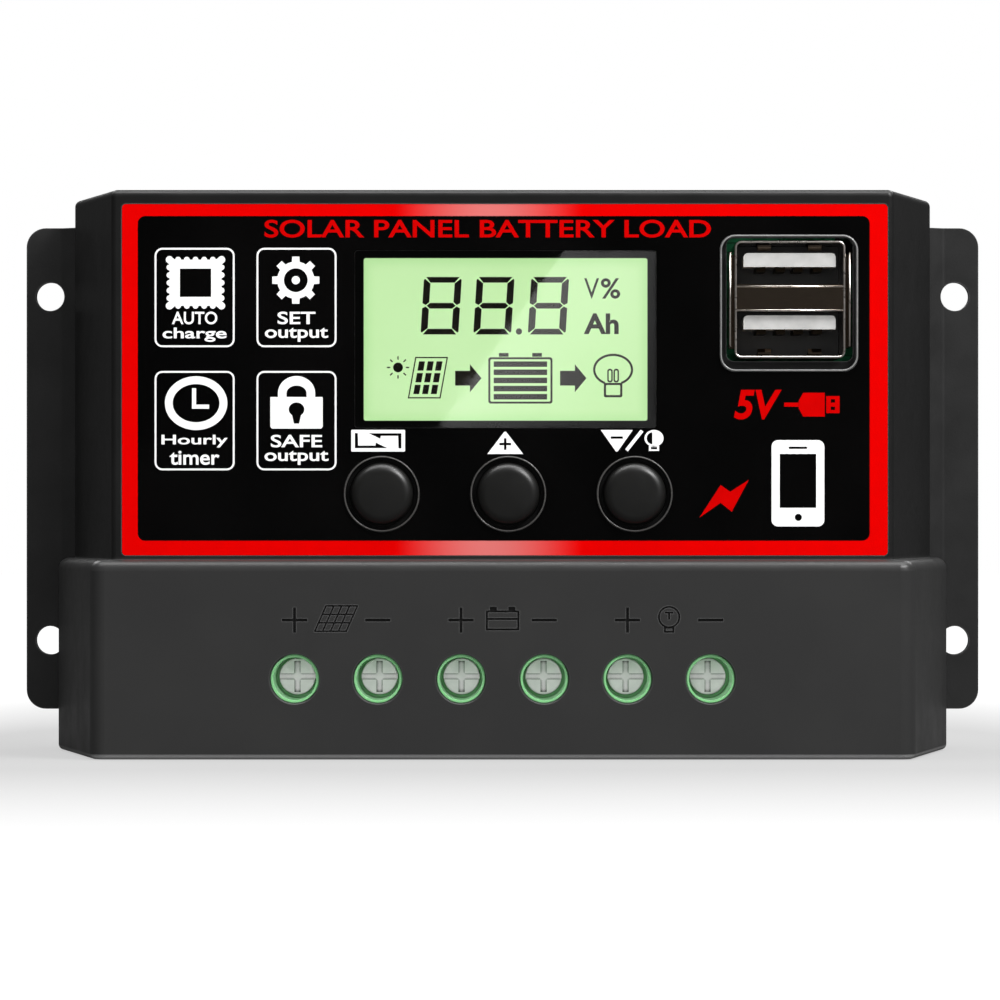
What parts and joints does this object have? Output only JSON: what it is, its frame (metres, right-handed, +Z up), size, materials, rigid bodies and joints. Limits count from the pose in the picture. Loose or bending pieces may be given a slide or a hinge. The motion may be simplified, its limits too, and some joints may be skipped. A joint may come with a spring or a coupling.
{
  "type": "solar charge controller",
  "caption": "Wall-mounted solar charge controller with a display, push buttons, charging ports and screw terminals that clamp wires from below.",
  "frame": {"origin": "centre of the four wall holes, on the wall plane", "axes": "+X to the right seen from the front, +Y into the wall, +Z up; the front faces -Y"},
  "size_m": [0.1334, 0.035, 0.0765],
  "materials": {
    "case_plastic": "fine satin texture",
    "plate_black": "black powder coat",
    "screw_zinc": "zinc plated",
    "label_film": "gloss printed film",
    "clear_window": "clear, polished",
    "display_glass": "lit green display",
    "light_guide": "frosted light guide",
    "holder_white": "moulded",
    "tinned_pins": "tinned",
    "socket_plate": "nickel plated",
    "insulator_black": "moulded",
    "tongue_white": "moulded",
    "contact_gold": "gold plated",
    "bar_brass": "tinned brass",
    "board_green": "solder mask",
    "standoff_brass": "turned",
    "pad_grey": "silicone",
    "chip_black": "moulded epoxy",
    "tab_tinned": "tinned copper",
    "can_aluminium": "drawn can",
    "sleeve_blue": "shrunk sleeve",
    "ferrite": "sintered",
    "copper_winding": "enamelled wire",
    "chip_ceramic": "fired",
    "thermistor_green": "dipped",
    "shunt_copper": "drawn wire",
    "switch_black": "moulded",
    "cover_steel": "tinned sheet",
    "terminal_green": "moulded polyamide",
    "terminal_screw": "nickel plated",
    "clamp_steel": "zinc plated",
    "button_rubber": "soft satin",
    "plunger_black": "moulded"
  },
  "bodies": {
    "controller": {"front_case": "case_plastic", "base_plate": "plate_black", "case_screws": "screw_zinc", "face_label": "label_film", "lcd_window": "clear_window", "lcd_glass": "display_glass", "lcd_backlight": "light_guide", "lcd_holder": "holder_white", "lcd_pins": "tinned_pins", "switch_pins": "tinned_pins", "through_leads": "tinned_pins", "chip_legs": "tinned_pins", "usb_shell": "socket_plate", "usb_insulator": "insulator_black", "usb_tongue_upper": "tongue_white", "usb_tongue_lower": "tongue_white", "usb_contacts": "contact_gold", "contact_bars": "bar_brass", "main_board": "board_green", "board_standoffs": "standoff_brass", "board_screws": "screw_zinc", "power_screws": "screw_zinc", "thermal_pad": "pad_grey", "power_bodies": "chip_black", "power_tabs": "tab_tinned", "capacitor_cans": "can_aluminium", "capacitor_sleeves": "sleeve_blue", "coil_core": "ferrite", "coil_winding": "copper_winding", "microcontroller": "chip_black", "regulator_chip": "chip_black", "chip_parts": "chip_ceramic", "thermistor": "thermistor_green", "current_shunt": "shunt_copper", "switch_bodies": "switch_black", "switch_covers": "cover_steel", "terminal_block_solar": "terminal_green", "terminal_block_battery": "terminal_green", "terminal_block_load": "terminal_green"},
    "screw_1": {"terminal_screw_1": "terminal_screw"},
    "screw_2": {"terminal_screw_2": "terminal_screw"},
    "screw_3": {"terminal_screw_3": "terminal_screw"},
    "screw_4": {"terminal_screw_4": "terminal_screw"},
    "screw_5": {"terminal_screw_5": "terminal_screw"},
    "screw_6": {"terminal_screw_6": "terminal_screw"},
    "clamp_1": {"terminal_clamp_1": "clamp_steel"},
    "clamp_2": {"terminal_clamp_2": "clamp_steel"},
    "clamp_3": {"terminal_clamp_3": "clamp_steel"},
    "clamp_4": {"terminal_clamp_4": "clamp_steel"},
    "clamp_5": {"terminal_clamp_5": "clamp_steel"},
    "clamp_6": {"terminal_clamp_6": "clamp_steel"},
    "key_menu": {"button_menu": "button_rubber", "switch_plunger_menu": "plunger_black"},
    "key_up": {"button_up": "button_rubber", "switch_plunger_up": "plunger_black"},
    "key_down": {"button_down": "button_rubber", "switch_plunger_down": "plunger_black"}
  },
  "joints": [
    {"name": "terminal_1_turn", "type": "hinge", "parent": "controller", "child": "screw_1", "pos_m": [-0.02788, -0.0245, -0.0284], "axis": [0, 1, 0], "range_deg": [0, 1800]},
    {"name": "clamp_1_rise", "type": "slide", "parent": "controller", "child": "clamp_1", "axis": [0, -1, 0], "range_m": [0, 0.003]},
    {"name": "terminal_2_turn", "type": "hinge", "parent": "controller", "child": "screw_2", "pos_m": [-0.01673, -0.0245, -0.0284], "axis": [0, 1, 0], "range_deg": [0, 1800]},
    {"name": "clamp_2_rise", "type": "slide", "parent": "controller", "child": "clamp_2", "axis": [0, -1, 0], "range_m": [0, 0.003]},
    {"name": "terminal_3_turn", "type": "hinge", "parent": "controller", "child": "screw_3", "pos_m": [-0.00558, -0.0245, -0.0284], "axis": [0, 1, 0], "range_deg": [0, 1800]},
    {"name": "clamp_3_rise", "type": "slide", "parent": "controller", "child": "clamp_3", "axis": [0, -1, 0], "range_m": [0, 0.003]},
    {"name": "terminal_4_turn", "type": "hinge", "parent": "controller", "child": "screw_4", "pos_m": [0.00558, -0.0245, -0.0284], "axis": [0, 1, 0], "range_deg": [0, 1800]},
    {"name": "clamp_4_rise", "type": "slide", "parent": "controller", "child": "clamp_4", "axis": [0, -1, 0], "range_m": [0, 0.003]},
    {"name": "terminal_5_turn", "type": "hinge", "parent": "controller", "child": "screw_5", "pos_m": [0.01673, -0.0245, -0.0284], "axis": [0, 1, 0], "range_deg": [0, 1800]},
    {"name": "clamp_5_rise", "type": "slide", "parent": "controller", "child": "clamp_5", "axis": [0, -1, 0], "range_m": [0, 0.003]},
    {"name": "terminal_6_turn", "type": "hinge", "parent": "controller", "child": "screw_6", "pos_m": [0.02788, -0.0245, -0.0284], "axis": [0, 1, 0], "range_deg": [0, 1800]},
    {"name": "clamp_6_rise", "type": "slide", "parent": "controller", "child": "clamp_6", "axis": [0, -1, 0], "range_m": [0, 0.003]},
    {"name": "key_menu_press", "type": "slide", "parent": "controller", "child": "key_menu", "axis": [0, 1, 0], "range_m": [0, 0.0003], "stiffness_N_per_m": 3000, "springref_m": -0.0002},
    {"name": "key_up_press", "type": "slide", "parent": "controller", "child": "key_up", "axis": [0, 1, 0], "range_m": [0, 0.0003], "stiffness_N_per_m": 3000, "springref_m": -0.0002},
    {"name": "key_down_press", "type": "slide", "parent": "controller", "child": "key_down", "axis": [0, 1, 0], "range_m": [0, 0.0003], "stiffness_N_per_m": 3000, "springref_m": -0.0002}
  ],
  "couplings": [
    {"joint": "terminal_1_turn", "follows": "clamp_1_rise", "rad_per_m": 10472},
    {"joint": "terminal_2_turn", "follows": "clamp_2_rise", "rad_per_m": 10472},
    {"joint": "terminal_3_turn", "follows": "clamp_3_rise", "rad_per_m": 10472},
    {"joint": "terminal_4_turn", "follows": "clamp_4_rise", "rad_per_m": 10472},
    {"joint": "terminal_5_turn", "follows": "clamp_5_rise", "rad_per_m": 10472},
    {"joint": "terminal_6_turn", "follows": "clamp_6_rise", "rad_per_m": 10472}
  ]
}
